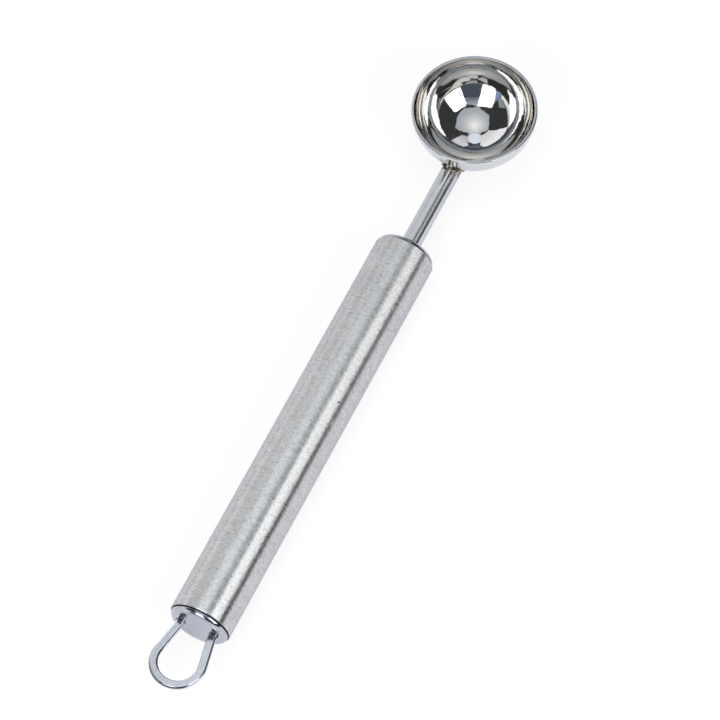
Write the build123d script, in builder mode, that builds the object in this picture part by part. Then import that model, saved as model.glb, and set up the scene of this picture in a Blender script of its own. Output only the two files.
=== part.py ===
from build123d import *
from math import acos, atan2, cos, hypot, pi, sin, tan
import os

# A one-piece melon baller in stainless steel.
# +X runs along the handle towards the bowl and +Z is the way the bowl opens.
# The origin lies on the table below the middle of the tool. All sizes are in millimetres.

# Handle tube
tube_diameter = 16.0
tube_wall = 0.8
tube_length = 113.3
tube_edge_round = 0.3

# Turned caps that close the tube, one at each end
cap_head_step = 0.35
cap_head_height = 1.45
cap_head_round = 1.3
cap_spigot_length = 5.0
cap_spigot_clearance = 0.02
cap_spigot_lead = 0.5

# Shank between the handle and the bowl
shank_diameter = 5.0
shank_bore_clearance = 0.03
shank_tail_beyond_cap = 2.5
shank_tail_chamfer = 0.4

# Bowl: a pressed shell, upright at the rim and a little flatter than half a ball
bowl_diameter = 32.34
bowl_depth = 14.75
bowl_wall = 0.75
bowl_reach = 41.4
rim_rise = 9.6
rim_outer_round = 0.25
drain_hole_diameter = 3.4

# Hanging loop: one round wire, pressed flat on both faces, whose round feet pass through the rear cap
wire_diameter = 2.3
loop_thickness = 1.75
flats_into_cap = 0.3
wire_hole_clearance = 0.04
eye_reach = 11.4
eye_swell = 1.6
leg_weld_to_bore = 0.8
leg_foot_outside = 1.2
leg_bend_radius = 4.0
leg_tail_beyond_cap = 1.6

# Welds
bowl_weld_leg = 0.6
shank_weld_leg = 1.1
loop_weld_leg = 0.8

# One overrun serves every cut
cut_overrun = 1.0

# Radii and places that follow from the sizes
tube_radius = tube_diameter / 2
bore_radius = tube_radius - tube_wall
cap_head_radius = tube_radius - cap_head_step
cap_flat_radius = cap_head_radius - cap_head_round
spigot_radius = bore_radius - cap_spigot_clearance
shank_radius = shank_diameter / 2
rim_radius = bowl_diameter / 2
wire_radius = wire_diameter / 2
leg_offset = bore_radius - leg_weld_to_bore - loop_weld_leg - wire_radius
eye_radius = leg_offset + eye_swell

loop_length = eye_reach + eye_radius + wire_radius
overall_length = loop_length + tube_length + bowl_reach + rim_radius
tail_x = loop_length - overall_length / 2
front_x = tail_x + tube_length
bowl_x = front_x + bowl_reach
axis_z = tube_radius
rim_z = axis_z + rim_rise
rim_centre = (bowl_x, 0, rim_z)

handle_axis = Axis((tail_x, 0, axis_z), (1, 0, 0))
bowl_axis = Axis(rim_centre, (0, 0, 1))

# Half sections are drawn on these planes: local x along the handle and local y away from its axis.
# The rear plane runs out of the tail and the front plane runs towards the bowl.
# On the bowl's plane local y is up, from the middle of the rim.
rear_section = Plane(origin=(tail_x, 0, axis_z), x_dir=(-1, 0, 0), z_dir=(0, 1, 0))
front_section = Plane(origin=(front_x, 0, axis_z), x_dir=(1, 0, 0), z_dir=(0, -1, 0))
bowl_section = Plane(origin=rim_centre, x_dir=(1, 0, 0), z_dir=(0, -1, 0))

# The loop lies flat, level with the handle's axis, and its local x runs out of the tail.
loop_plane = Plane(origin=(tail_x, 0, axis_z), x_dir=(-1, 0, 0), z_dir=(0, 0, 1))


def across_handle(distance):
    """A plane square to the handle, this far in front of the tube's tail end, facing the bowl."""
    return Plane(origin=(tail_x + distance, 0, axis_z), x_dir=(0, 1, 0), z_dir=(1, 0, 0))


def turned_cap(section):
    """A cap turned on the handle's axis: a rounded head outside the tube and a spigot inside it."""
    shoulder = cap_head_height - cap_head_round
    with BuildPart() as cap:
        with BuildSketch(section):
            with BuildLine():
                Line((-cap_spigot_length, 0), (cap_head_height, 0))
                Line((cap_head_height, 0), (cap_head_height, cap_flat_radius))
                RadiusArc((cap_head_height, cap_flat_radius), (shoulder, cap_head_radius), -cap_head_round)
                Line((shoulder, cap_head_radius), (0, cap_head_radius))
                Line((0, cap_head_radius), (0, spigot_radius))
                Line((0, spigot_radius), (cap_spigot_lead - cap_spigot_length, spigot_radius))
                Line(
                    (cap_spigot_lead - cap_spigot_length, spigot_radius),
                    (-cap_spigot_length, spigot_radius - cap_spigot_lead),
                )
                Line((-cap_spigot_length, spigot_radius - cap_spigot_lead), (-cap_spigot_length, 0))
            make_face()
        revolve(axis=handle_axis)
    return cap.part


def bowl_form(growth):
    """The bowl's outside as a solid, grown by this much, closed level with the rim and half elliptical."""
    width = rim_radius + growth
    depth = bowl_depth + growth
    with BuildPart() as form:
        with BuildSketch(bowl_section):
            with BuildLine():
                Line((0, 0), (0, -depth))
                Bezier((0, -depth), (width, -depth), (width, 0), weights=(1, cos(pi / 4), 1))
                Line((width, 0), (0, 0))
            make_face()
        revolve(axis=bowl_axis)
    return form.part


def weld_ring(section, seat, core_radius, leg, around):
    """A hollow-faced fillet weld round a bar, laid on a flat seat and thinning away from it."""
    with BuildPart() as weld:
        with BuildSketch(section):
            with BuildLine():
                Line((seat, core_radius), (seat, core_radius + leg))
                RadiusArc((seat, core_radius + leg), (seat - leg, core_radius), 2 * leg)
                Line((seat - leg, core_radius), (seat, core_radius))
            make_face()
        revolve(axis=around)
    return weld.part


# Handle tube: drawn as its wall and turned, with both outer edges broken
with BuildPart() as handle_tube:
    with BuildSketch(across_handle(0)):
        Circle(tube_radius)
        Circle(bore_radius, mode=Mode.SUBTRACT)
    extrude(amount=tube_length)
    outer_ends = handle_tube.edges().filter_by(GeomType.CIRCLE).filter_by(
        lambda edge: edge.radius > tube_radius - tube_wall / 2
    )
    fillet(outer_ends, tube_edge_round)

# Front cap: bored for the shank
with BuildPart() as front_cap:
    add(turned_cap(front_section))
    with BuildSketch(across_handle(tube_length - cap_spigot_length - cut_overrun)):
        Circle(shank_radius + shank_bore_clearance)
    extrude(amount=cap_spigot_length + cap_head_height + 2 * cut_overrun, mode=Mode.SUBTRACT)

# Rear cap: drilled for the two feet of the loop
with BuildPart() as rear_cap:
    add(turned_cap(rear_section))
    with BuildSketch(across_handle(-cap_head_height - cut_overrun)):
        with Locations((-leg_offset, 0), (leg_offset, 0)):
            Circle(wire_radius + wire_hole_clearance)
    extrude(amount=cap_head_height + cap_spigot_length + 2 * cut_overrun, mode=Mode.SUBTRACT)

# Shank: a round bar whose tail stands out behind the front cap and whose nose is cut to the bowl
shank_tail = cap_spigot_length + shank_tail_beyond_cap
with BuildPart() as shank:
    with BuildSketch(across_handle(tube_length - shank_tail)):
        Circle(shank_radius)
    extrude(amount=shank_tail + bowl_reach)
    chamfer(shank.faces().sort_by(Axis.X)[0].edges(), shank_tail_chamfer)
    add(bowl_form(0), mode=Mode.SUBTRACT)

# Weld that holds the shank, hidden behind the front cap
with BuildPart() as shank_weld:
    add(weld_ring(front_section, -cap_spigot_length, shank_radius, shank_weld_leg, handle_axis))

# Bowl: a shell with a flat ground rim and a hole at the bottom that lets juice and air out
with BuildPart() as bowl:
    add(bowl_form(0))
    add(bowl_form(-bowl_wall), mode=Mode.SUBTRACT)
    rim = bowl.faces().filter_by(GeomType.PLANE).sort_by(Axis.Z)[-1]
    fillet(rim.outer_wire().edges(), rim_outer_round)
    with BuildSketch(Plane(origin=(bowl_x, 0, rim_z - bowl_depth - cut_overrun))):
        Circle(drain_hole_diameter / 2)
    extrude(amount=bowl_wall + 2 * cut_overrun, mode=Mode.SUBTRACT)

# Weld between the shank's nose and the outside of the bowl
with BuildPart() as bowl_weld:
    with BuildSketch(across_handle(tube_length + bowl_reach - rim_radius - bowl_weld_leg)):
        Circle(shank_radius + bowl_weld_leg)
        Circle(shank_radius, mode=Mode.SUBTRACT)
    extrude(amount=rim_radius + bowl_weld_leg)
    add(bowl_form(bowl_weld_leg), mode=Mode.INTERSECT)
    add(bowl_form(0), mode=Mode.SUBTRACT)

# Hanging loop: straight feet, legs that spread, and a round eye that the legs meet tangentially
bend_x = cap_head_height + leg_foot_outside
bend_to_eye = hypot(eye_reach - bend_x, leg_offset)
eye_meeting_angle = atan2(leg_offset, bend_x - eye_reach) - acos(eye_radius / bend_to_eye)
spread_angle = eye_meeting_angle - pi / 2
bend_length = leg_bend_radius * tan(spread_angle / 2)
foot_x = -cap_spigot_length - leg_tail_beyond_cap
meeting_x = eye_reach + eye_radius * cos(eye_meeting_angle)
meeting_y = eye_radius * sin(eye_meeting_angle)
with BuildPart() as hanging_loop:
    with BuildLine(loop_plane) as loop_path:
        for side in (1, -1):
            bend_start = (bend_x - bend_length, side * leg_offset)
            bend_end = (
                bend_x + bend_length * cos(spread_angle),
                side * (leg_offset + bend_length * sin(spread_angle)),
            )
            Line((foot_x, side * leg_offset), bend_start)
            TangentArc(bend_start, bend_end, tangent=(1, 0))
            Line(bend_end, (meeting_x, side * meeting_y))
        ThreePointArc((meeting_x, meeting_y), (eye_reach + eye_radius, 0), (meeting_x, -meeting_y))
    loop_wire = loop_path.wires()[0]
    with BuildSketch(Plane(origin=loop_wire @ 0, z_dir=loop_wire % 0)):
        Circle(wire_radius)
    sweep(path=loop_wire)
    for side in (1, -1):
        with BuildSketch(loop_plane.offset(side * loop_thickness / 2)):
            with Locations((cap_head_height - flats_into_cap, 0)):
                Rectangle(2 * loop_length, 2 * tube_diameter, align=(Align.MIN, Align.CENTER))
        extrude(amount=side * wire_diameter, mode=Mode.SUBTRACT)

# Welds that hold the loop's feet, hidden behind the rear cap
with BuildPart() as loop_welds:
    for side in (1, -1):
        foot_axis = Axis((tail_x, side * leg_offset, axis_z), (1, 0, 0))
        foot_section = Plane(
            origin=(tail_x, side * leg_offset, axis_z), x_dir=(-1, 0, 0), z_dir=(0, 1, 0)
        )
        add(weld_ring(foot_section, -cap_spigot_length, wire_radius, loop_weld_leg, foot_axis))

# Names and files
pieces = {
    "handle_tube": handle_tube,
    "front_cap": front_cap,
    "rear_cap": rear_cap,
    "shank": shank,
    "shank_weld": shank_weld,
    "bowl": bowl,
    "bowl_weld": bowl_weld,
    "hanging_loop": hanging_loop,
    "loop_welds": loop_welds,
}
os.makedirs("parts", exist_ok=True)
for name, piece in pieces.items():
    piece.part.label = name
    export_step(piece.part, f"parts/{name}.step")
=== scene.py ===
# %% [markdown]
# # A melon baller in stainless steel
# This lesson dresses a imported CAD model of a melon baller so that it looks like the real
# tool on a photographer's table. The tool has a slim tubular handle with a satin finish, two
# turned caps, a polished shank, a polished bowl with a drain hole, and a wire loop to hang
# it by. Almost everything here is bare metal, so most of the work is in two places: how each
# surface is finished, and what the studio around it gives it to reflect.

from math import acos, asin, atan2, cos, hypot, pi, radians, sin, sqrt, tan

import bmesh
import bpy
from mathutils import Matrix, Vector


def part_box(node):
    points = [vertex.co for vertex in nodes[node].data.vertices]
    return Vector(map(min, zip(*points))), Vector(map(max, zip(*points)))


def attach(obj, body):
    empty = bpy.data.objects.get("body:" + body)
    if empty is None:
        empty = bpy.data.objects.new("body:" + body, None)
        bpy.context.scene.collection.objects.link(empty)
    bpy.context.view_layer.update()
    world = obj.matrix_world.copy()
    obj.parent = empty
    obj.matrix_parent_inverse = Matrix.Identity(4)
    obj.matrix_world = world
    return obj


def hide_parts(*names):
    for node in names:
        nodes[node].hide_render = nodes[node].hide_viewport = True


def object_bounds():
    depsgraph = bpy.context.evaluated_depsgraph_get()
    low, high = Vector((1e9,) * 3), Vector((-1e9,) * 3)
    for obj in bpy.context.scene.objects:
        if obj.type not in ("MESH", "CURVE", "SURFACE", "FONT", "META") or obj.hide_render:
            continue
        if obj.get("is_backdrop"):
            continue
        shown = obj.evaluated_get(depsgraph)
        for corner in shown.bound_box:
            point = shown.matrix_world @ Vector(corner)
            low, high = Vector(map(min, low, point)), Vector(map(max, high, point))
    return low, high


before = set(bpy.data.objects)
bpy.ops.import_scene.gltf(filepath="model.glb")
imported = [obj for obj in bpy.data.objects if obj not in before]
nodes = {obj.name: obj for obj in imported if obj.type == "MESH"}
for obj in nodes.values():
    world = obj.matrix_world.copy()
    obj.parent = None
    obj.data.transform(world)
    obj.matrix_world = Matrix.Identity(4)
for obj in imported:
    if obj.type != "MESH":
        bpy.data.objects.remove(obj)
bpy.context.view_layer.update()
print("packed pieces:", ", ".join(sorted(nodes)))

# %% [markdown]
# ## Sizes that come from the frame
# The imported model is in metres, with +X along the handle towards the bowl and +Z the way the
# bowl opens. Places are worked out from the boxes of its pieces, so that what is modelled here
# lands exactly where the CAD model has it. A few sizes that no box shows, such as the drain
# hole and the spacing of the loop's feet, are the CAD model's own and are listed.

# %% Places read from the frame
mm = 0.001
tube_low, tube_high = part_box("handle_tube")
tail_x, front_x = tube_low.x, tube_high.x
middle_x = (tail_x + front_x) / 2
half_tube = (front_x - tail_x) / 2
tube_radius = (tube_high.z - tube_low.z) / 2
axis_z = (tube_high.z + tube_low.z) / 2
leg_offset = 4.45 * mm
print(f"tube {tube_radius / mm:.2f} mm in radius, from x {tail_x / mm:.2f} to {front_x / mm:.2f} mm")

bowl_low, bowl_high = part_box("bowl")
hole_radius = 1.7 * mm
rim_radius = (bowl_high.y - bowl_low.y) / 2
bowl_x = bowl_high.x - rim_radius
rim_z = bowl_high.z
rim_centre = Vector((bowl_x, 0, rim_z))
bowl_depth = (rim_z - bowl_low.z) / sqrt(1 - (hole_radius / rim_radius) ** 2)
joint_x = bowl_x - rim_radius * sqrt(1 - ((rim_z - axis_z) / bowl_depth) ** 2)
print(f"bowl {rim_radius / mm:.2f} mm in radius and {bowl_depth / mm:.2f} mm deep")
print(f"its rim lies at z {rim_z / mm:.2f} mm, and the shank meets it at x {joint_x / mm:.2f} mm")

# %% [markdown]
# ## The camera
# The photograph looks down on the tool from the tail's side with a long lens, so the
# perspective is slight. A camera is easiest to reason about as an azimuth, an elevation, a
# distance and a point to aim at, plus a small roll.

# %% Camera
camera_azimuth = radians(-60.70)
camera_elevation = radians(61.41)
camera_roll = radians(-3.61)
camera_distance = 1.0431
camera_aim = Vector((0.00534, -0.00311, axis_z))
lens_length = 209.06
sensor_width = 36.0

back = Vector((
    sin(camera_azimuth) * cos(camera_elevation),
    -cos(camera_azimuth) * cos(camera_elevation),
    sin(camera_elevation),
))
camera_data = bpy.data.cameras.new("camera")
camera_data.lens = lens_length
camera_data.sensor_width = sensor_width
camera = bpy.data.objects.new("camera", camera_data)
bpy.context.scene.collection.objects.link(camera)
facing = back.to_track_quat("Z", "Y").to_matrix().to_4x4()
camera.matrix_world = (
    Matrix.Translation(camera_aim + back * camera_distance) @ facing @ Matrix.Rotation(camera_roll, 4, "Z")
)
bpy.context.scene.camera = camera
print("camera stands at", [round(v, 4) for v in camera.matrix_world.translation])

# %% [markdown]
# ## Writing shader maths as expressions
# A Math node is one small sum, and a finish needs dozens of them. Wrapping a socket in a
# class that answers to + - * / lets a whole formula be written on one line, and each
# operation still becomes an ordinary node that can be seen in the editor. Everything that
# isn't arithmetic comes from one method that sets a node up and hands back its output.

# %% Sockets that can be added and multiplied
class Signal:
    """A node's output that can be used in a sum."""

    def __init__(self, finish, socket):
        self.finish = finish
        self.socket = socket

    def sum(self, operation, *values):
        sockets = dict(enumerate(values))
        return self.finish.node("ShaderNodeMath", {"operation": operation}, sockets)

    def __add__(self, other):
        return self.sum("ADD", self, other)

    def __radd__(self, other):
        return self.sum("ADD", other, self)

    def __sub__(self, other):
        return self.sum("SUBTRACT", self, other)

    def __rsub__(self, other):
        return self.sum("SUBTRACT", other, self)

    def __mul__(self, other):
        return self.sum("MULTIPLY", self, other)

    def __rmul__(self, other):
        return self.sum("MULTIPLY", other, self)

    def __truediv__(self, other):
        return self.sum("DIVIDE", self, other)

    def __rtruediv__(self, other):
        return self.sum("DIVIDE", other, self)

    def __pow__(self, other):
        return self.sum("POWER", self, other)

    def __abs__(self):
        return self.sum("ABSOLUTE", self)

    def above(self, edge, softness):
        """0 well below the edge, 1 well above it, with a soft step between."""
        settings = {"interpolation_type": "SMOOTHSTEP", "clamp": True}
        sockets = {"Value": self, "From Min": edge - softness, "From Max": edge + softness}
        return self.finish.node("ShaderNodeMapRange", settings, sockets)

    def limited(self):
        """The same value kept between 0 and 1."""
        return self.finish.node("ShaderNodeMath", {"operation": "ADD", "use_clamp": True}, {0: self, 1: 0})


class Finish:
    """A material and the nodes that make it."""

    def __init__(self, name, tree=None):
        if tree is None:
            self.material = bpy.data.materials.new(name)
            self.material.use_nodes = True
            tree = self.material.node_tree
        self.tree = tree
        self.tree.nodes.clear()

    def node(self, kind, settings=None, sockets=None, output=0, stops=None):
        """Add a node: its settings first, then a value or a link for each socket that is named."""
        made = self.tree.nodes.new(kind)
        for name, value in (settings or {}).items():
            setattr(made, name, value)
        if stops:
            ramp = made.color_ramp
            while len(ramp.elements) < len(stops):
                ramp.elements.new(0.5)
            for element, (place, colour) in zip(ramp.elements, stops):
                element.position = place
                element.color = (*colour, 1)
        for name, value in (sockets or {}).items():
            socket = made.inputs[name]
            if isinstance(value, Signal):
                self.tree.links.new(value.socket, socket)
            elif socket.type == "RGBA":
                socket.default_value = (*value, 1)
            else:
                socket.default_value = value
        return Signal(self, made.outputs[output])

    def surface(self, shader):
        """Send a shader to the output."""
        output = self.tree.nodes.new("ShaderNodeOutputMaterial")
        self.tree.links.new(shader.socket, output.inputs["Surface"])
        return self.material


print("shader maths ready")

# %% [markdown]
# ### Small helpers for every material
# Each material asks the same few things: where the shaded point lies on its own object, how
# far that is from some spot, and a colour between two others.

# %% Places, distances and blends
def object_place(finish):
    """Where the shaded point lies, in the object's own coordinates."""
    return finish.node("ShaderNodeTexCoord", output="Object")


def part_of(finish, vector, axis):
    """The X, Y or Z of a vector."""
    return finish.node("ShaderNodeSeparateXYZ", {}, {0: vector}, output=axis)


def distance(finish, vector, point):
    """How far a place is from a fixed point."""
    sockets = {0: vector, 1: point}
    return finish.node("ShaderNodeVectorMath", {"operation": "DISTANCE"}, sockets, output="Value")


def spot(finish, centre, size, softness):
    """1 within this distance of a point, and 0 beyond it."""
    return 1 - distance(finish, object_place(finish), centre).above(size, softness)


def blend(finish, share, low, high):
    """A colour between two others. A Mix node has its colours on inputs 6 and 7 and on output 2."""
    return finish.node("ShaderNodeMix", {"data_type": "RGBA"}, {0: share, 6: low, 7: high}, output=2)


def shining(finish, colour, strength=1.0):
    """A shader that gives off light."""
    return finish.node("ShaderNodeEmission", {}, {"Color": colour, "Strength": strength})


print("helpers ready")

# %% [markdown]
# ## The studio
# Polished steel has no colour of its own to speak of: it shows the room. The bowl in the
# photograph is a small round mirror, so the room can be read off it. Two large softboxes
# stand on the left and in front, a many-sided panel hangs overhead, paler grey and bluish
# reflectors stand on the far right, and the rest of the room is dark. The panels below are
# placed by the directions in which the bowl sees them: an angle down from straight overhead,
# and a compass angle from +X towards +Y. A picture of a studio wrapped round the scene would
# be quicker, but panels can be moved and dimmed one by one.

# %% Panels that the steel reflects
panel_distance = 3.0


def towards(down, around):
    """The direction that lies this many degrees down from overhead and this far round."""
    down, around = radians(down), radians(around)
    return Vector((sin(down) * cos(around), sin(down) * sin(around), cos(down)))


def on_set(name, bm, material):
    """Put a mesh on the set, where only reflections see it."""
    mesh = bpy.data.meshes.new(name)
    bm.to_mesh(mesh)
    bm.free()
    mesh.materials.append(material)
    made = bpy.data.objects.new(name, mesh)
    bpy.context.scene.collection.objects.link(made)
    made.visible_camera = False
    made.visible_diffuse = False
    made.visible_volume_scatter = False
    made.visible_shadow = False
    made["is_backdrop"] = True
    return made


def glow(name, colour, strength=1.0):
    """A material that shines evenly."""
    light = Finish(name)
    return light.surface(shining(light, colour, strength))


def fading_glow(name, upper, lower, upper_down, lower_down):
    """A material that shines in one colour down to one angle and fades to another by a second angle."""
    light = Finish(name)
    height = part_of(light, object_place(light), "Z") - rim_z
    top = panel_distance * cos(radians(upper_down))
    foot = panel_distance * cos(radians(lower_down))
    share = ((top - height) / (top - foot)).limited()
    return light.surface(shining(light, blend(light, share, upper, lower)))


def panel(name, corners, material, nearness=1.0):
    """A panel whose corners lie in these directions from the bowl. The nearer one hides the farther."""
    bm = bmesh.new()
    points = [bm.verts.new(rim_centre + towards(*corner) * panel_distance / nearness) for corner in corners]
    bmesh.ops.contextual_create(bm, geom=points)
    bmesh.ops.triangulate(bm, faces=bm.faces[:])
    return on_set(name, bm, material)


print("panels stand", panel_distance, "m from the bowl")

# %% [markdown]
# ### The two softboxes
# A softbox is a lamp behind a white cloth, evenly bright from edge to edge. In the bowl both
# show as slanted white windows with sharp edges, so a bare shining polygon is all they need.

# %% The two softboxes
softbox_level = 2.3
softbox_glow = glow("softbox", (0.96, 1.0, 1.09), softbox_level)
panel("left_softbox", [(39, 149), (28, 195), (52, 191.5), (76, 189.5), (76, 167), (58, 159)], softbox_glow)
panel("near_softbox", [(34, 230), (36.5, 276), (52, 271), (71, 268), (72, 231.5), (52, 231)], softbox_glow)
print("two softboxes, radiance", softbox_level)

# %% [markdown]
# ### Reflectors and flags
# A reflector is a pale board that throws light back, and a flag is a dark one that keeps light
# away. In the bowl they fill the space between and below the softboxes in greys and dull
# blues. Boards that darken towards one edge fade from one colour to another over their height.

# %% Reflectors and flags
panel(
    "far_reflector",
    [(86, 96), (60, 91.5), (29.7, 74), (29.9, 49), (48.5, 36), (55, 41), (59, 60), (86, 62)],
    fading_glow("far_reflector", (0.80, 0.83, 0.90), (1.08, 1.10, 1.18), 30, 52),
)
panel(
    "blue_reflector",
    [(24.4, 41), (32.4, 47), (43.2, 37.2), (44.6, 25.2), (43.2, 16), (29.6, 10.4), (23.4, 30.5)],
    glow("blue_reflector", (0.84, 0.94, 1.10)),
    nearness=1.04,
)
panel(
    "right_reflector",
    [(30.9, 2), (50, 15), (55, 7.5), (66, -12), (45, -14), (34, -10)],
    fading_glow("right_reflector", (0.60, 0.62, 0.68), (0.82, 0.82, 0.94), 36, 50),
)
panel(
    "right_strip",
    [(46, 34), (57, 43), (89, 62), (89, 18), (50, 16), (46, 24)],
    fading_glow("right_strip", (0.13, 0.14, 0.19), (0.95, 0.97, 1.06), 56, 76),
    nearness=0.975,
)
panel(
    "far_table",
    [(61, 92), (62, 128), (66, 150), (89, 150), (89, 92)],
    fading_glow("far_table", (0.3, 0.3, 0.33), (1.1, 1.1, 1.12), 60, 68),
)
panel(
    "far_flag",
    [(50, 138), (60, 128), (66, 150), (58, 152)],
    glow("far_flag", (0.29, 0.37, 0.45)),
    nearness=1.03,
)
panel(
    "left_flag",
    [(44, 152), (56, 152), (75, 151), (75, 165), (58, 159)],
    glow("left_flag", (0.24, 0.34, 0.58)),
    nearness=0.985,
)
panel(
    "camera_side",
    [(27, 194), (30, 212), (33, 229), (52, 230), (78, 230), (78, 190), (52, 192)],
    fading_glow("camera_side", (0.48, 0.57, 0.69), (0.08, 0.10, 0.14), 29, 48),
    nearness=0.985,
)
panel(
    "right_horizon",
    [(80, -38), (80, 0), (80, 30), (89.5, 30), (89.5, -38)],
    glow("right_horizon", (0.9, 0.93, 1.05)),
    nearness=1.01,
)
print("reflectors and flags stand round the rest of the tool")

# %% [markdown]
# ### The panel overhead
# The dim many-sided shape at the bottom of the bowl is a large cloth panel hung over the
# table, lit from behind by one lamp. Its brightness falls off round the lamp as 1 / (1 + distance squared),
# which is how a lamp behind a thin cloth shows.

# %% The panel overhead
overhead_nearness = 1.09
hot_spot_width = 0.57
overhead = Finish("overhead_panel")
hot_spot = rim_centre + towards(6.6, 27) * panel_distance / overhead_nearness
from_lamp = distance(overhead, object_place(overhead), hot_spot)
heat = 1 / (1 + (from_lamp / hot_spot_width) ** 2)
shine = blend(overhead, heat, (0.36, 0.42, 0.50), (1.22, 1.24, 1.31))
panel(
    "overhead_panel",
    [(28, 138), (29, 76), (23.5, 40), (23.5, 14), (32, -28),
     (35, -38), (31, -75), (30, -115), (26, 214), (27, 193)],
    overhead.surface(shining(overhead, shine)),
    nearness=overhead_nearness,
)
print("a panel overhead, with a soft hot spot")

# %% [markdown]
# ### The dark room
# Between the panels the bowl is nearly black, because the studio itself is unlit. A dark dome
# behind the panels gives that. It stops short of the table, so that the white sheet and the
# pale backdrop still show in the steel near the horizon.

# %% The dark room behind the panels
room_radius = 3.6
room_edge = 89
room = bmesh.new()
peak = room.verts.new(rim_centre + Vector((0, 0, room_radius)))
bmesh.ops.spin(room, geom=[peak], cent=rim_centre, axis=(0, 1, 0), angle=radians(room_edge), steps=24)
bmesh.ops.spin(room, geom=room.verts[:] + room.edges[:], cent=rim_centre, axis=(0, 0, 1), angle=2 * pi,
               steps=48, use_merge=True)
bmesh.ops.remove_doubles(room, verts=room.verts[:], dist=1e-6)
on_set("dark_room", room, glow("dark_room", (0.045, 0.047, 0.052)))
print(f"a dark room {room_radius} m in radius, open lower than {90 - room_edge} degrees over the table")

# %% [markdown]
# ## Floor and backdrop
# The tool lies on a white sheet that runs out of sight. The camera and the steel have to see
# the sheet as white without more light on the tool, so for their rays most of its brightness
# is a glow. The rest is real light, and the tool's soft shadow shows in that. Through the drain
# hole the photograph shows the sheet in a bluish shade, so the sheet has a small painted shadow of
# that tone below the hole, where the bowl's shade falls.

# %% The white sheet
def seen_by(finish, *rays):
    """1 where a ray of one of these kinds arrives, and 0 for all others."""
    total = 0
    for ray in rays:
        total = finish.node("ShaderNodeLightPath", output=ray) + total
    return total.limited()


near_glow = 0.85
far_glow = 1.0
glow_in_steel = 0.6
sheet = Finish("white_sheet")
lit = sheet.node("ShaderNodeBsdfDiffuse", {}, {"Color": (0.92, 0.92, 0.92)})
in_steel = seen_by(sheet, "Is Glossy Ray", "Is Transmission Ray")
on_sheet = object_place(sheet)
# A small bluish painted shadow on the sheet below the drain hole.
below_hole = Vector((bowl_x + 1.3 * mm, 0.8 * mm, 0))
past_hole = distance(sheet, on_sheet, below_hole).above(3.0 * mm, 1.3 * mm)
shade = blend(sheet, past_hole, (0.68, 0.75, 0.84), (1.0, 1.0, 1.0))
tint = blend(sheet, in_steel, shade, (0.84, 0.89, 1.07))
from_tool = sheet.node("ShaderNodeVectorMath", {"operation": "LENGTH"}, {0: on_sheet}, output="Value")
far_off = from_tool.above(0.6, 0.3)
in_camera = (near_glow + (far_glow - near_glow) * far_off) * seen_by(sheet, "Is Camera Ray")
glowing = in_camera + glow_in_steel * in_steel
paper = sheet.node("ShaderNodeMixShader", {}, {0: glowing, 1: lit, 2: shining(sheet, tint)})

floor_mesh = bmesh.new()
bmesh.ops.create_grid(floor_mesh, x_segments=1, y_segments=1, size=4.0)
floor = on_set("floor", floor_mesh, sheet.surface(paper))
floor.visible_camera = True
floor.visible_diffuse = True
floor.visible_shadow = True
print("a white sheet, glowing", near_glow, "near the tool and", far_glow, "far off")

# %% [markdown]
# ### The backdrop
# Past the sheet's edge the camera and the steel see plain white. Other light from there is
# weaker, so that the sky doesn't wash out the shadow on the sheet.

# %% World
sky_light = 0.3
world = bpy.data.worlds.new("studio")
bpy.context.scene.world = world
world.use_nodes = True
sky = Finish("studio", world.node_tree)
level = sky_light + (1 - sky_light) * seen_by(sky, "Is Camera Ray", "Is Glossy Ray", "Is Transmission Ray")
background = sky.node("ShaderNodeBackground", {}, {"Color": (1.0, 1.0, 1.0), "Strength": level})
world_output = world.node_tree.nodes.new("ShaderNodeOutputWorld")
world.node_tree.links.new(background.socket, world_output.inputs["Surface"])
print("white backdrop")

# %% [markdown]
# ### Lamps
# The lamps stand where the softboxes and the panel overhead are, and light the sheet. The
# steel doesn't see them, because it sees the panels in their place. Splitting the light from
# its reflection this way lets each be set alone.

# %% Lamps
lamp_distance = 1.2
sheet_lamp_power = 7.0


def lamp(name, direction, width, height, power):
    """A soft lamp that faces the tool. The side that is its width is level."""
    data = bpy.data.lights.new(name, "AREA")
    data.shape = "RECTANGLE"
    data.size = width
    data.size_y = height
    data.energy = power
    made = bpy.data.objects.new(name, data)
    bpy.context.scene.collection.objects.link(made)
    turned = direction.to_track_quat("Z", "Y").to_matrix().to_4x4()
    made.matrix_world = Matrix.Translation(direction * lamp_distance) @ turned
    return made


for name, direction, size in (
    ("left_lamp", towards(52, 172), 0.7),
    ("near_lamp", towards(54, 252), 0.7),
    ("overhead_lamp", towards(7, 27), 0.9),
):
    lamp(name, direction, size, size, sheet_lamp_power).visible_glossy = False
print("three lamps for the sheet")

# %% [markdown]
# ### Lamps and cards that only the handle reflects
# A satin surface gathers light from a wide band of directions, so small errors in the room add
# up along the tube and the shank: with the panels alone their highlights are weaker than in the
# photograph. These soft lamps are linked to the tube or to the shank, and nothing else sees
# them, so the bowl's sharp reflections stay as they are. They are a help to match the
# photograph, not a claim about lamps that stood there. The four named near and high stand in
# directions that the camera sees mirrored in the metal, which keeps their highlights even
# along the handle.

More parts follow.
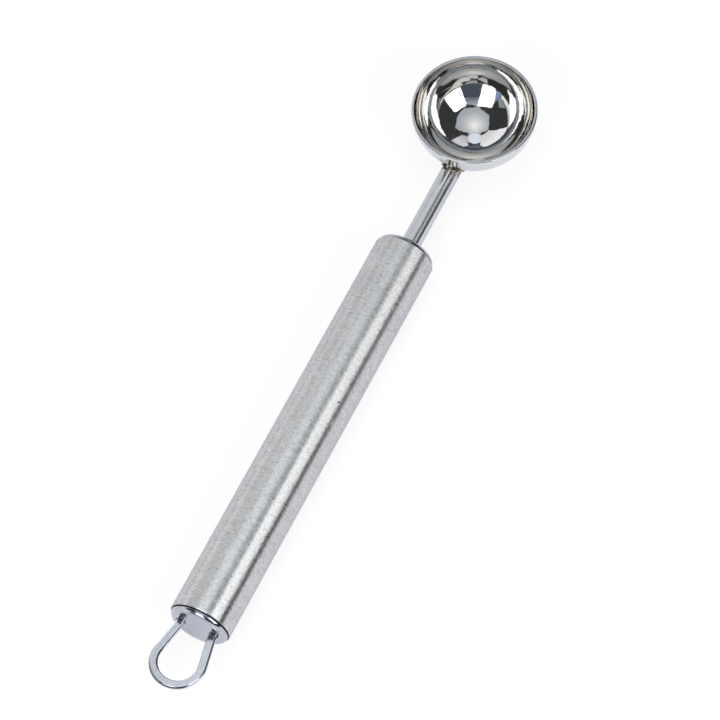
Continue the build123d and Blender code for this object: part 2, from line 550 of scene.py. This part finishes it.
# %% Lamps and cards that only the handle reflects
tube_only = bpy.data.collections.new("tube_only")
shank_only = bpy.data.collections.new("shank_only")
handle_lamps = (
    ("left_boost", tube_only, towards(56, 172), 0.80, 0.78, 4.9),
    ("near_boost", tube_only, towards(55, 298.5), 0.80, 0.76, 3.0),
    ("high_card", tube_only, towards(24, 28), 1.2, 1.5, 1.7),
    ("far_card", tube_only, towards(42, 80), 0.7, 0.7, 0.4),
    ("front_card", tube_only, towards(43, -42), 0.6, 0.40, 0.6),
    ("near_shank_card", shank_only, towards(49, 304), 0.8, 0.42, 0.68),
    ("high_shank_card", shank_only, towards(28, 26), 0.9, 0.46, 0.45),
)
for name, receiver, direction, width, height, power in handle_lamps:
    card = lamp(name, direction, width, height, power)
    card.visible_camera = False
    card.data.color = (0.93, 0.96, 1.0)
    card.light_linking.receiver_collection = receiver
print(len(handle_lamps), "lamps and cards for the handle")

# %% [markdown]
# ## Finishes
# Stainless steel is one metal with several surfaces. The tube is brushed round its girth: each
# fine groove spreads light along the handle and leaves it crisp across. A shader does that
# with anisotropy, which needs a direction on the surface. Left alone, the shader takes that
# direction from the mesh's texture space, so each brushed mesh gets a texture space whose
# middle lies far off to one side. Seen from that far, "round the middle" is the same as "along
# the handle", everywhere on the piece. The marks of every tool are noise, stretched along the
# way the tool went or wound into rings.

# %% Metal surfaces
def metal(finish, colour, roughness, **others):
    """A metal surface. A constant goes on the shader's own socket."""
    sockets = {"Base Color": colour, "Metallic": 1.0, "Roughness": roughness}
    for name, value in others.items():
        sockets[name.replace("_", " ").title()] = value
    return finish.surface(finish.node("ShaderNodeBsdfPrincipled", {}, sockets))


def noise_at(finish, vector, detail, roughness=0.6):
    """Noise between 0 and 1 that changes about once in each unit of the vector."""
    sockets = {"Vector": vector, "Scale": 1.0, "Detail": detail, "Roughness": roughness}
    return finish.node("ShaderNodeTexNoise", {"noise_dimensions": "3D"}, sockets)


def stretched_noise(finish, rates, detail=2.0, roughness=0.6):
    """Noise with its own rate along each of the three axes, in changes a metre."""
    sockets = {0: object_place(finish), 1: rates}
    stretched = finish.node("ShaderNodeVectorMath", {"operation": "MULTIPLY"}, sockets)
    return noise_at(finish, stretched, detail, roughness)


def rings(finish, centre, axis, rate, wander=120.0, detail=3.0):
    """Noise that changes fast across rings round an axis and slowly along them."""
    sockets = {0: object_place(finish), 1: centre}
    from_centre = finish.node("ShaderNodeVectorMath", {"operation": "SUBTRACT"}, sockets)
    x, y, z = (part_of(finish, from_centre, name) for name in "XYZ")
    across, away, height = (y, z, x) if axis == "X" else (x, y, z)
    spread = (across * across + away * away) ** 0.5
    vector = finish.node("ShaderNodeCombineXYZ", {}, {
        0: spread * rate + across * wander, 1: height * rate + away * wander, 2: height * wander,
    })
    return noise_at(finish, vector, detail)


def swing(noise, gain):
    """Noise turned into a swing either side of 0, stronger or weaker."""
    return (noise - 0.5) * gain


def bumped(finish, height, lift):
    """A surface direction that follows a height. A height of 1 stands this far out."""
    return finish.node("ShaderNodeBump", {}, {"Height": height, "Distance": lift, "Strength": 1.0})


def along_handle(mesh):
    """Make a brushed mesh spread its reflections along X."""
    mesh.use_auto_texspace = False
    mesh.texspace_location = (0, -1000, 0)
    mesh.texspace_size = (1, 1, 1)


satin = {"anisotropic": 1.0, "specular_tint": (0.8, 0.8, 0.8)}
print("metal surfaces ready")

# %% [markdown]
# ### The satin tube
# An abrasive belt leaves fine hairs round the girth, a few wider bands, and flecks where a
# coarse grain dug in. All are noise stretched along the hairs. They shade the steel, change
# its roughness slightly and tilt its surface a little. The alternative, a groove for each hair
# in the mesh, would take millions of faces.

# %% Brushed tube
def brushed_hairs(finish):
    """Fine hairs round the handle, a third of a millimetre apart."""
    return stretched_noise(finish, (3000, 260, 260), detail=4.0, roughness=0.7)


tube_finish = Finish("brushed_tube")
hairs = brushed_hairs(tube_finish)
flecks = stretched_noise(tube_finish, (1900, 1000, 1000), detail=3.0, roughness=0.7)
bands = stretched_noise(tube_finish, (300, 24, 24))
deep_cuts = stretched_noise(tube_finish, (900, 110, 110), detail=1.0).above(0.77, 0.03)
grain = swing(hairs, 1.4) + swing(flecks, 2.4) + swing(bands, 0.4) + 0.5
grain = (grain - 0.2 * deep_cuts).limited()
tube_tone = blend(tube_finish, grain, (0.47, 0.46, 0.435), (0.725, 0.71, 0.675))
tube_rough = 0.265 + swing(flecks, 0.05) + 0.03 * bands
tube_relief = 0.3 * hairs + flecks + 0.15 * bands
print("tube: hairs a third of a millimetre apart, running round it")

# %% [markdown]
# ### Ends and marks of the tube
# Where each end turns over into the seam, a dark line of painted shade shows: the shade of the narrow gap.
# It is fainter at the front, and faintest on its far side. Handling left one dark pit and two small dents
# halfway along.

# %% Ends and marks of the tube
fade_at_front = 0.4
more_on_far_side = 0.5
place = object_place(tube_finish)
past_middle = part_of(tube_finish, place, "X") - middle_x
far_side = part_of(tube_finish, place, "Y").above(1.5 * mm, 2.0 * mm)
front_half = past_middle.above(0, 1.0 * mm)
# The dark line at each end is painted shade of the seam's gap, weaker at the front and on the far side.
end_painted_shade = (abs(past_middle) - half_tube).above(-0.09 * mm, 0.04 * mm)
end_painted_shade = end_painted_shade * (1 - front_half * (fade_at_front + more_on_far_side * far_side))
tube_tone = blend(tube_finish, end_painted_shade, tube_tone, (0.04, 0.039, 0.037))


def tube_mark(along, across, up, size):
    """A small round mark on the tube, placed from its tail end and from its axis, in millimetres."""
    centre = Vector((tail_x + along * mm, across * mm, axis_z + up * mm))
    return spot(tube_finish, centre, size * mm, 0.4 * size * mm)


pit = tube_mark(65.7, -5.2, 6.1, 0.25)
first_dent = tube_mark(60.8, -6.1, 5.2, 0.26)
second_dent = tube_mark(60.0, -6.0, 5.3, 0.26)
tube_tone = blend(tube_finish, pit, tube_tone, (0.03, 0.03, 0.03))
tube_normal = bumped(tube_finish, tube_relief - first_dent - second_dent, 0.06 * mm)
brushed_tube = metal(tube_finish, tube_tone, tube_rough, normal=tube_normal, **satin)
print("tube: dark lines at its ends, one pit and two dents")

# %% [markdown]
# ### The shank
# The shank has the same hairs under a brighter polish, so its reflections stay narrower. Faint
# streaks run along it, from the die that it was drawn through.

# %% Shank
shank_finish = Finish("satin_shank")
hairs = brushed_hairs(shank_finish)
streaks = stretched_noise(shank_finish, (60, 1500, 1500))
shank_grain = (swing(hairs, 1.1) + swing(streaks, 0.8) + 0.5).limited()
shank_tone = blend(shank_finish, shank_grain, (0.53, 0.53, 0.515), (0.70, 0.705, 0.69))
satin_shank = metal(shank_finish, shank_tone, 0.20, normal=bumped(shank_finish, hairs, 0.02 * mm), **satin)
print("shank: satin, with faint streaks along it")

# %% [markdown]
# ### Steel that was heated
# Welding the shank to the bowl heated the steel on both sides of the joint, and that leaves a
# thin film of oxide, straw-coloured where it is thin and brown where it is thick. A colour ramp
# holds those tints in order. Noise shifts the place on the ramp, because real heat tints come
# in patches.

# %% Heat tints
tints_a_metre = 150


def heat_colours(finish, patches):
    """Heat tints across the joint: straw on the near side, clean steel on top, brown on the far side."""
    across = part_of(finish, object_place(finish), "Y")
    side = across * tints_a_metre + swing(patches, 1.1) + 0.5
    return finish.node("ShaderNodeValToRGB", {}, {0: side}, stops=[
        (0.0, (0.24, 0.20, 0.13)), (0.30, (0.38, 0.33, 0.23)), (0.42, (0.70, 0.68, 0.64)),
        (0.56, (0.66, 0.63, 0.58)), (0.66, (0.20, 0.16, 0.11)), (1.0, (0.07, 0.06, 0.045)),
    ])


heat_finish = Finish("heated_steel")
ripple = rings(heat_finish, (0, 0, axis_z), "X", 1400, detail=2.0)
heat_tone = heat_colours(heat_finish, stretched_noise(heat_finish, (180, 900, 900)))
heated = metal(heat_finish, heat_tone, 0.12 + 0.12 * ripple, normal=bumped(heat_finish, ripple, 0.01 * mm))
print("joint: straw to brown heat tints")

# %% [markdown]
# ### Mirror polish
# The bowl, the caps and the loop are buffed. A buffing wheel leaves rings so fine that they
# only show as a slight haze and a few hair scratches. Perfectly smooth metal would look too
# clean, so the rings change the roughness and lift the surface by about a thousandth of a
# millimetre. The inside of the bowl also has slower and higher waves left by the press.

# %% Polished bowl
scratch_haze = 0.20
scratch_height = 0.8


def buffed(name, dark_tone, light_tone, centre, axis, rate, smooth, rough, lift, waves=0.0):
    """Mirror polish with fine rings round an axis: the finish, its tone, its roughness and its normal."""
    finish = Finish(name)
    lines = rings(finish, centre, axis, rate)
    scratch = lines.above(0.66, 0.05)
    tone = blend(finish, (swing(lines, 1.2) + 0.5).limited(), dark_tone, light_tone)
    roughness = smooth + (rough - smooth) * lines + scratch_haze * scratch
    relief = lines + scratch_height * scratch
    if waves:
        relief = relief + waves * rings(finish, centre, axis, 500, wander=300, detail=1.0)
    return finish, tone, roughness, bumped(finish, relief, lift)


inside, tone, roughness, normal = buffed(
    "polished_inside", (0.70, 0.675, 0.63), (0.77, 0.745, 0.70), rim_centre, "Z",
    rate=2200, smooth=0.02, rough=0.07, lift=0.0008 * mm, waves=22.0)
polished_inside = metal(inside, tone, roughness, normal=normal)
print("bowl: buffed inside")

# %% [markdown]
# ### The outside of the bowl and its rim
# The outside is buffed a little less than the inside. Round the joint it has a halo of heat
# tints, taller than it is wide: heights are halved before the distance from the joint is
# measured. The rim was ground flat on a wheel, which leaves it dull.

# %% Outside and rim of the bowl
outside, tone, roughness, normal = buffed(
    "polished_outside", (0.65, 0.63, 0.60), (0.72, 0.70, 0.665), rim_centre, "Z",
    rate=2200, smooth=0.05, rough=0.12, lift=0.001 * mm)
blotches = stretched_noise(outside, (700, 700, 700))
sockets = {0: object_place(outside), 1: (1, 1, 0.5)}
halved = outside.node("ShaderNodeVectorMath", {"operation": "MULTIPLY"}, sockets)
halo_middle = Vector((joint_x - 1.5 * mm, 0, (axis_z + 2.5 * mm) / 2))
from_joint = distance(outside, halved, halo_middle) + swing(blotches, 1.6 * mm)
halo = 1 - from_joint.above(3.6 * mm, 0.4 * mm)
tone = blend(outside, 0.92 * halo, tone, heat_colours(outside, blotches))
polished_outside = metal(outside, tone, roughness, normal=normal)

rim_finish = Finish("ground_rim")
grinding = rings(rim_finish, rim_centre, "Z", 9000, wander=400)
rim_tone = blend(rim_finish, grinding, (0.46, 0.455, 0.43), (0.66, 0.655, 0.63))
ground_rim = metal(rim_finish, rim_tone, 0.28, normal=bumped(rim_finish, grinding, 0.003 * mm))
print("bowl: buffed outside with a halo at the joint, ground flat at the rim")

# %% [markdown]
# ### Caps and their seams
# The caps are turned and buffed. The seams where they meet the tube, the shank and the loop's feet
# are dark, partly with polishing dirt and partly with painted shade of the narrow gaps, where little light
# gets out. The gaps are narrower than a pixel, so the shader paints them as thin rings with slightly uneven
# edges.

# %% Polished caps and their seams
tube_seam_width = 0.28 * mm
shank_seam_radius = 2.66 * mm
foot_seam_radius = 1.28 * mm
seam_softness = 0.08 * mm
caps, tone, roughness, normal = buffed(
    "polished_caps", (0.46, 0.46, 0.47), (0.54, 0.54, 0.545), (middle_x, 0, axis_z), "X",
    rate=2600, smooth=0.05, rough=0.12, lift=0.001 * mm)
place = object_place(caps)
past_middle = part_of(caps, place, "X") - middle_x
across = part_of(caps, place, "Y")
up = part_of(caps, place, "Z") - axis_z
front_half = past_middle.above(0, 1.0 * mm)
far_front = front_half * across.above(1.5 * mm, 2.0 * mm)
uneven_seam_edge = 0.1 * mm * stretched_noise(caps, (900, 900, 900))

beyond_tube = abs(past_middle) - half_tube
tube_seam = (1 - beyond_tube.above(tube_seam_width, 0.06 * mm)) * (1 - 0.8 * far_front)
from_shank_axis = (across * across + up * up) ** 0.5
shank_seam = (1 - from_shank_axis.above(shank_seam_radius + uneven_seam_edge, seam_softness)) * front_half
from_leg = abs(across) - leg_offset
from_foot_axis = (from_leg * from_leg + up * up) ** 0.5
foot_seam = (1 - from_foot_axis.above(foot_seam_radius + uneven_seam_edge, seam_softness)) * (1 - front_half)
# The seams' dark tone is polishing dirt plus painted shade of the gaps, weaker on the far side at the front.
seam = (tube_seam + shank_seam + foot_seam).limited()

cap_tone = blend(caps, seam, tone, (0.035, 0.034, 0.033))
polished_caps = metal(caps, cap_tone, roughness + 0.5 * seam, normal=normal)
print("caps: buffed, dark at the seams")

# %% [markdown]
# ### The loop's wire
# The wire was drawn, bent, pressed flat and buffed. Its upright sides show a dark line on the
# photograph, a reflection of the dark room, which a narrow band of painted dark reflection on both
# sides gives. Two stretches of the line are bright there, one on the leg at +Y and one on the eye,
# so the painted band fades at both.

# %% Polished wire
wire_finish = Finish("polished_wire")
drawn = stretched_noise(wire_finish, (700, 700, 3000), detail=3.0)
dents = stretched_noise(wire_finish, (260, 260, 260))
wire_tone = blend(wire_finish, (swing(drawn, 1.4) + 0.5).limited(), (0.79, 0.80, 0.80), (0.91, 0.915, 0.92))
off_middle = abs(part_of(wire_finish, object_place(wire_finish), "Z") - axis_z)
# Painted dark reflection along the wire's upright sides. It fades where the sides show bright highlights.
side_painted_reflection = off_middle.above(0.32 * mm, 0.10 * mm) * (1 - off_middle.above(0.80 * mm, 0.03 * mm))
bright_leg = spot(wire_finish, Vector((tail_x - 5.5 * mm, 5.2 * mm, axis_z)), 4.4 * mm, 0.8 * mm)
bright_eye = spot(wire_finish, Vector((tail_x - 14.6 * mm, -6.5 * mm, axis_z)), 2.6 * mm, 0.8 * mm)
side_painted_reflection = side_painted_reflection * (1 - 0.85 * (bright_leg + bright_eye))
wire_tone = blend(wire_finish, side_painted_reflection * 0.9, wire_tone, (0.06, 0.06, 0.07))
wire_normal = bumped(wire_finish, dents, 0.03 * mm)
polished_wire = metal(wire_finish, wire_tone, 0.09 + 0.09 * drawn, normal=wire_normal)
print("loop: drawn wire, pressed and buffed")

# %% [markdown]
# ### Weld metal
# The welds behind the caps are never polished. They are dull, lumpy and stained, and they only
# show where the tool is taken apart.

# %% Weld metal
weld_finish = Finish("weld_metal")
lumps = stretched_noise(weld_finish, (900, 900, 900), detail=3.0)
weld_tone = blend(weld_finish, (swing(lumps, 2) + 0.5).limited(), (0.20, 0.16, 0.12), (0.52, 0.50, 0.47))
weld_metal = metal(weld_finish, weld_tone, 0.35 + 0.2 * lumps, normal=bumped(weld_finish, lumps, 0.1 * mm))
print("welds: dull and lumpy")

# %% [markdown]
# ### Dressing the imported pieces
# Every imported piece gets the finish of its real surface, also the four that finer meshes
# replace below, so that none of them is ever left bare.

# %% Dress the CAD nodes
dress = {
    "handle_tube": brushed_tube,
    "front_cap": polished_caps,
    "rear_cap": polished_caps,
    "shank": satin_shank,
    "shank_weld": weld_metal,
    "bowl": polished_outside,
    "bowl_weld": heated,
    "hanging_loop": polished_wire,
    "loop_welds": weld_metal,
}
for name, node in nodes.items():
    node.data.materials.clear()
    node.data.materials.append(dress[name])
print("dressed", len(dress), "CAD pieces")

# %% [markdown]
# ## Pieces with finer meshes
# A polished surface shows every facet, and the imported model's triangles would break the long
# reflections. The tube, the shank, the bowl and the loop are therefore modelled again in even
# rows of faces, at the same size and in the same place. Each new piece is smooth-shaded, with
# sharp edges kept where two faces meet at more than a set angle, and it replaces its CAD node.

# %% From a bmesh to a piece
crease_degrees = 50


def piece(name, bm, *materials, replaces, slot):
    """Turn a bmesh into a smooth-shaded piece that rides with the tool in place of a CAD node."""
    bmesh.ops.remove_doubles(bm, verts=bm.verts[:], dist=1e-7)
    bmesh.ops.recalc_face_normals(bm, faces=bm.faces[:])
    for face in bm.faces:
        face.smooth = True
    for edge in bm.edges:
        edge.smooth = len(edge.link_faces) != 2 or edge.calc_face_angle() < radians(crease_degrees)
    mesh = bpy.data.meshes.new(name)
    bm.to_mesh(mesh)
    bm.free()
    for material in materials:
        mesh.materials.append(material)
    made = bpy.data.objects.new(name, mesh)
    bpy.context.scene.collection.objects.link(made)
    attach(made, "root")
    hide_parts(replaces)
    print(f"{name}: {len(mesh.polygons)} faces")
    return made


def round_over(bm, edges, size, segments):
    """Round edges by this much."""
    bmesh.ops.bevel(bm, geom=edges, offset=size, segments=segments, profile=0.5, affect="EDGES",
                    material=-1, offset_type="OFFSET")


print("pieces keep an edge sharp above", crease_degrees, "degrees")

# %% [markdown]
# ### The handle tube
# The real tube is cut from a long drawn one, and its cut edges are broken. A cylinder with a
# thickness added by a modifier would do, but the wall is drawn here as a rectangle and spun
# round the handle's axis, which gives the bore and both ends in one step. Then the two outer
# edges are rounded.

# %% The handle tube
tube_wall = 0.8 * mm
tube_edge_round = 0.3 * mm


def closed_wire(bm, points):
    """Join points in a ring of edges."""
    corners = [bm.verts.new(point) for point in points]
    return corners + [bm.edges.new((corners[i - 1], corners[i])) for i in range(len(corners))]


def is_outer_end(edge):
    """Whether an edge lies round the outside of one of the tube's ends."""
    tolerance = 0.1 * mm
    first, second = (v.co for v in edge.verts)
    on_outside = all(hypot(co.y, co.z - axis_z) > tube_radius - tolerance for co in (first, second))
    return on_outside and abs(first.x - second.x) < tolerance


tube = bmesh.new()
wall = closed_wire(tube, [
    (tail_x, 0, axis_z + tube_radius),
    (front_x, 0, axis_z + tube_radius),
    (front_x, 0, axis_z + tube_radius - tube_wall),
    (tail_x, 0, axis_z + tube_radius - tube_wall),
])
bmesh.ops.spin(tube, geom=wall, cent=(0, 0, axis_z), axis=(1, 0, 0), angle=2 * pi, steps=160, use_merge=True)
bmesh.ops.recalc_face_normals(tube, faces=tube.faces[:])
round_over(tube, [edge for edge in tube.edges if is_outer_end(edge)], tube_edge_round, 5)
tube_piece = piece("brushed_handle_tube", tube, brushed_tube, replaces="handle_tube", slot="brushed_handle")
along_handle(tube_piece.data)
tube_only.objects.link(tube_piece)

# %% [markdown]
# ### The shank
# The shank is a straight bar whose nose is shaped to the bowl before it is welded on. Cutting
# a cylinder with the bowl by a boolean would leave ragged faces, so the points at the nose are
# moved along the bar onto the bowl's curve instead, and a little way into its wall. One cut
# round the bar gives the heated part a sharp edge.

# %% The shank
shank_low, shank_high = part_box("shank")
shank_radius = (shank_high.z - shank_low.z) / 2
nose_overlap = 0.1 * mm
heated_length = 3.0 * mm
heat_line = joint_x - heated_length

bar = bmesh.new()
bmesh.ops.create_cone(bar, cap_ends=True, segments=96, radius1=shank_radius, radius2=shank_radius, depth=1.0)
bmesh.ops.rotate(bar, verts=bar.verts[:], cent=(0, 0, 0), matrix=Matrix.Rotation(pi / 2, 3, "Y"))
bmesh.ops.translate(bar, verts=bar.verts[:], vec=(0, 0, axis_z))
for vert in bar.verts:
    if vert.co.x < 0:
        vert.co.x = shank_low.x
    else:
        height = (rim_z - vert.co.z) / bowl_depth
        width = vert.co.y / rim_radius
        vert.co.x = bowl_x - rim_radius * sqrt(1 - height ** 2 - width ** 2) + nose_overlap
bmesh.ops.bisect_plane(bar, geom=bar.verts[:] + bar.edges[:] + bar.faces[:],
                       plane_co=(heat_line, 0, axis_z), plane_no=(1, 0, 0))
for face in bar.faces:
    face.material_index = 1 if face.calc_center_median().x > heat_line else 0
shank_piece = piece("satin_shank", bar, satin_shank, heated, replaces="shank", slot="polished_shank")
along_handle(shank_piece.data)
shank_only.objects.link(shank_piece)

# %% [markdown]
# ### The bowl
# A press draws the bowl from a disc of sheet, its rim is ground flat, and a punch makes the
# drain hole. Half a sphere with thickness added would be quick, but the real section is
# slightly flatter than a ball. So one arc is turned for the outside and one for the inside,
# both are flattened to their depth, joined at the hole and at the rim, and spun round the
# bowl's axis. The arcs start at the hole, so no hole has to be cut.

# %% The bowl's shell
bowl_wall = 0.75 * mm
inner_radius = rim_radius - bowl_wall
inner_depth = bowl_depth - bowl_wall
arc_steps = 56


def quarter_section(bm, radius):
    """A round arc from the drain hole to the rim. Returns its points at the hole and at the rim."""
    turn = asin(hole_radius / radius)
    first = bm.verts.new(rim_centre + Vector((hole_radius, 0, -radius * cos(turn))))
    made = bmesh.ops.spin(bm, geom=[first], cent=rim_centre, axis=(0, 1, 0), angle=turn - pi / 2,
                          steps=arc_steps)
    bm.verts.ensure_lookup_table()
    return first, made["geom_last"][0]


def flatten(bm, verts, share):
    """Scale points towards the level of the rim."""
    bmesh.ops.scale(bm, vec=(1, 1, share), verts=verts, space=Matrix.Translation(-rim_centre))


shell = bmesh.new()
outer_hole, outer_rim = quarter_section(shell, rim_radius)
outer = shell.verts[:]
flatten(shell, outer, bowl_depth / rim_radius)
inner_hole, inner_rim = quarter_section(shell, inner_radius)
inner = [v for v in shell.verts if v not in set(outer)]
flatten(shell, inner, inner_depth / inner_radius)
shell.edges.new((outer_hole, inner_hole))
shell.edges.new((outer_rim, inner_rim))
bmesh.ops.spin(shell, geom=shell.verts[:] + shell.edges[:], cent=rim_centre, axis=(0, 0, 1), angle=2 * pi,
               steps=160, use_merge=True)
bmesh.ops.remove_doubles(shell, verts=shell.verts[:], dist=1e-7)
bmesh.ops.recalc_face_normals(shell, faces=shell.faces[:])
print("shell:", len(shell.faces), "faces before its edges are rounded")

# %% [markdown]
# ### Edges and surfaces of the bowl
# Four rings of edges are rounded: two at the rim and two at the hole. Even a tenth of a
# millimetre matters, because a rounded edge catches a line of light. After that each face gets
# the finish of the side it is on. The large faces then set the shading, so that the rim stays
# flat right up to its rounded edges.

# %% Round the bowl's edges and choose its surfaces
def ring_edges(bm, radius, height):
    """The ring of edges at this distance from the bowl's axis and at this height."""
    tolerance = 0.02 * mm
    return [
        edge for edge in bm.edges
        if all(abs(hypot(v.co.x - bowl_x, v.co.y) - radius) < tolerance for v in edge.verts)
        and all(abs(v.co.z - height) < tolerance for v in edge.verts)
    ]


outer_bottom = rim_z - bowl_depth * sqrt(1 - (hole_radius / rim_radius) ** 2)
inner_bottom = rim_z - inner_depth * sqrt(1 - (hole_radius / inner_radius) ** 2)
for radius, height, size in (
    (rim_radius, rim_z, 0.25 * mm),
    (inner_radius, rim_z, 0.06 * mm),
    (hole_radius, outer_bottom, 0.1 * mm),
    (hole_radius, inner_bottom, 0.16 * mm),
):
    ring = ring_edges(shell, radius, height)
    round_over(shell, ring, size, 4)
    print(f"rounded {len(ring)} edges by {size / mm:.2f} mm")

mid_radius = rim_radius - bowl_wall / 2
mid_depth = bowl_depth - bowl_wall / 2
outside_slot, inside_slot, rim_slot = 0, 1, 2
for face in shell.faces:
    centre = face.calc_center_median() - rim_centre
    within = hypot(hypot(centre.x, centre.y) / mid_radius, centre.z / mid_depth) < 1
    face.material_index = inside_slot if within else outside_slot
    if abs(centre.z) < 0.001 * mm:
        face.material_index = rim_slot
print("faces on the flat rim:", sum(face.material_index == rim_slot for face in shell.faces))

bowl_piece = piece("polished_bowl", shell, polished_outside, polished_inside, ground_rim,
                   replaces="bowl", slot="polished_bowl")
even_shading = bowl_piece.modifiers.new("even_shading", "WEIGHTED_NORMAL")
even_shading.weight = 100
even_shading.keep_sharp = True

# %% [markdown]
# ### The hanging loop
# The loop is one round wire: two straight feet, a slight bend where each leg leaves the cap,
# and a round eye. After bending it was pressed flat between two plates, so its faces are flat,
# its sides are still round, and the corners between them are soft. A curve with a round bevel
# would make the wire too, but its points couldn't be pressed. Here a ring of points is carried
# along the path by extruding it straight and spinning it round each bend.

# %% The loop's path
wire_radius = 1.15 * mm
foot_end = -6.6 * mm
flats_from = 1.15 * mm
bend_reach, bend_radius, bend_steps = 2.65 * mm, 4.0 * mm, 8
eye_reach, eye_radius, eye_steps = 11.4 * mm, 6.05 * mm, 72
bend_to_eye = hypot(eye_reach - bend_reach, leg_offset)
meeting_angle = atan2(leg_offset, bend_reach - eye_reach) - acos(eye_radius / bend_to_eye)
spread_angle = meeting_angle - pi / 2
bend_length = bend_radius * tan(spread_angle / 2)
leg_length = sqrt(bend_to_eye ** 2 - eye_radius ** 2) - bend_length
bend_start = tail_x - bend_reach + bend_length
eye_centre = Vector((tail_x - eye_reach, 0, axis_z))
print(f"legs {leg_length / mm:.2f} mm long, round an eye {2 * eye_radius / mm:.1f} mm across its middle")

# %% Carry the wire's section along the path
def run_straight(bm, ring, heading, length):
    """Extrude a ring this far along a heading, measured round from +X."""
    edges = [part for part in ring if isinstance(part, bmesh.types.BMEdge)]
    made = bmesh.ops.extrude_edge_only(bm, edges=edges)["geom"]
    verts = [part for part in made if isinstance(part, bmesh.types.BMVert)]
    bmesh.ops.translate(bm, verts=verts, vec=Vector((cos(heading), sin(heading), 0)) * length)
    return [part for part in made if not isinstance(part, bmesh.types.BMFace)]


def run_round(bm, ring, centre, angle, steps):
    """Spin a ring round an upright axis."""
    return bmesh.ops.spin(bm, geom=ring, cent=centre, axis=(0, 0, 1), angle=angle, steps=steps)["geom_last"]


wire = bmesh.new()
bmesh.ops.create_circle(wire, cap_ends=False, segments=128, radius=wire_radius)
bmesh.ops.rotate(wire, verts=wire.verts[:], cent=(0, 0, 0), matrix=Matrix.Rotation(pi / 2, 3, "Y"))
bmesh.ops.translate(wire, verts=wire.verts[:], vec=(tail_x - foot_end, leg_offset, axis_z))
front = wire.verts[:] + wire.edges[:]

# The flats begin within one short stretch of each foot, so that they start with a crisp step.
ease = 0.04 * mm
foot_parts = (flats_from - ease - foot_end, 2 * ease, bend_reach - bend_length - flats_from - ease)
for length in foot_parts:
    front = run_straight(wire, front, pi, length)
front = run_round(wire, front, (bend_start, leg_offset + bend_radius, axis_z), -spread_angle, bend_steps)
front = run_straight(wire, front, pi - spread_angle, leg_length)
front = run_round(wire, front, eye_centre, 2 * meeting_angle, eye_steps)
front = run_straight(wire, front, spread_angle, leg_length)
front = run_round(wire, front, (bend_start, -leg_offset - bend_radius, axis_z), -spread_angle, bend_steps)
for length in reversed(foot_parts):
    front = run_straight(wire, front, 0, length)
bmesh.ops.holes_fill(wire, edges=[edge for edge in wire.edges if edge.is_boundary], sides=0)
print("loop reaches", round((tail_x - min(v.co.x for v in wire.verts)) / mm, 2), "mm behind the tube")

# %% [markdown]
# ### Pressing the loop flat
# The press holds every point's height at half the pressed thickness. Close to that height the
# curve eases over instead of breaking, which leaves the soft corners of the real wire. The feet
# stay round where they enter the cap.

# %% Press it flat
half_thickness = 0.875 * mm
softness = 0.12 * mm
for vert in wire.verts:
    rise = vert.co.z - axis_z
    if vert.co.x < tail_x - flats_from:
        overlap = max(softness - abs(abs(rise) - half_thickness), 0)
        pressed = min(abs(rise), half_thickness) - overlap ** 2 / (4 * softness)
        vert.co.z = axis_z + (pressed if rise > 0 else -pressed)
piece("hanging_loop_wire", wire, polished_wire, replaces="hanging_loop", slot="polished_wire")
loop_low, loop_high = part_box("hanging_loop")
print("loop box in the CAD model", [round(v / mm, 2) for v in (*loop_low, *loop_high)])

# %% [markdown]
# ## The size and the view
# The box of everything modelled here is printed in millimetres, and the view transform is set to Standard.
# Nothing modelled here may stand outside the CAD model's box by more than a hair.

# %% Size and view
bpy.context.scene.view_settings.view_transform = "Standard"
size = [list(corner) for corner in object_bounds()]

print("visual box", [[round(v / mm, 2) for v in corner] for corner in size])
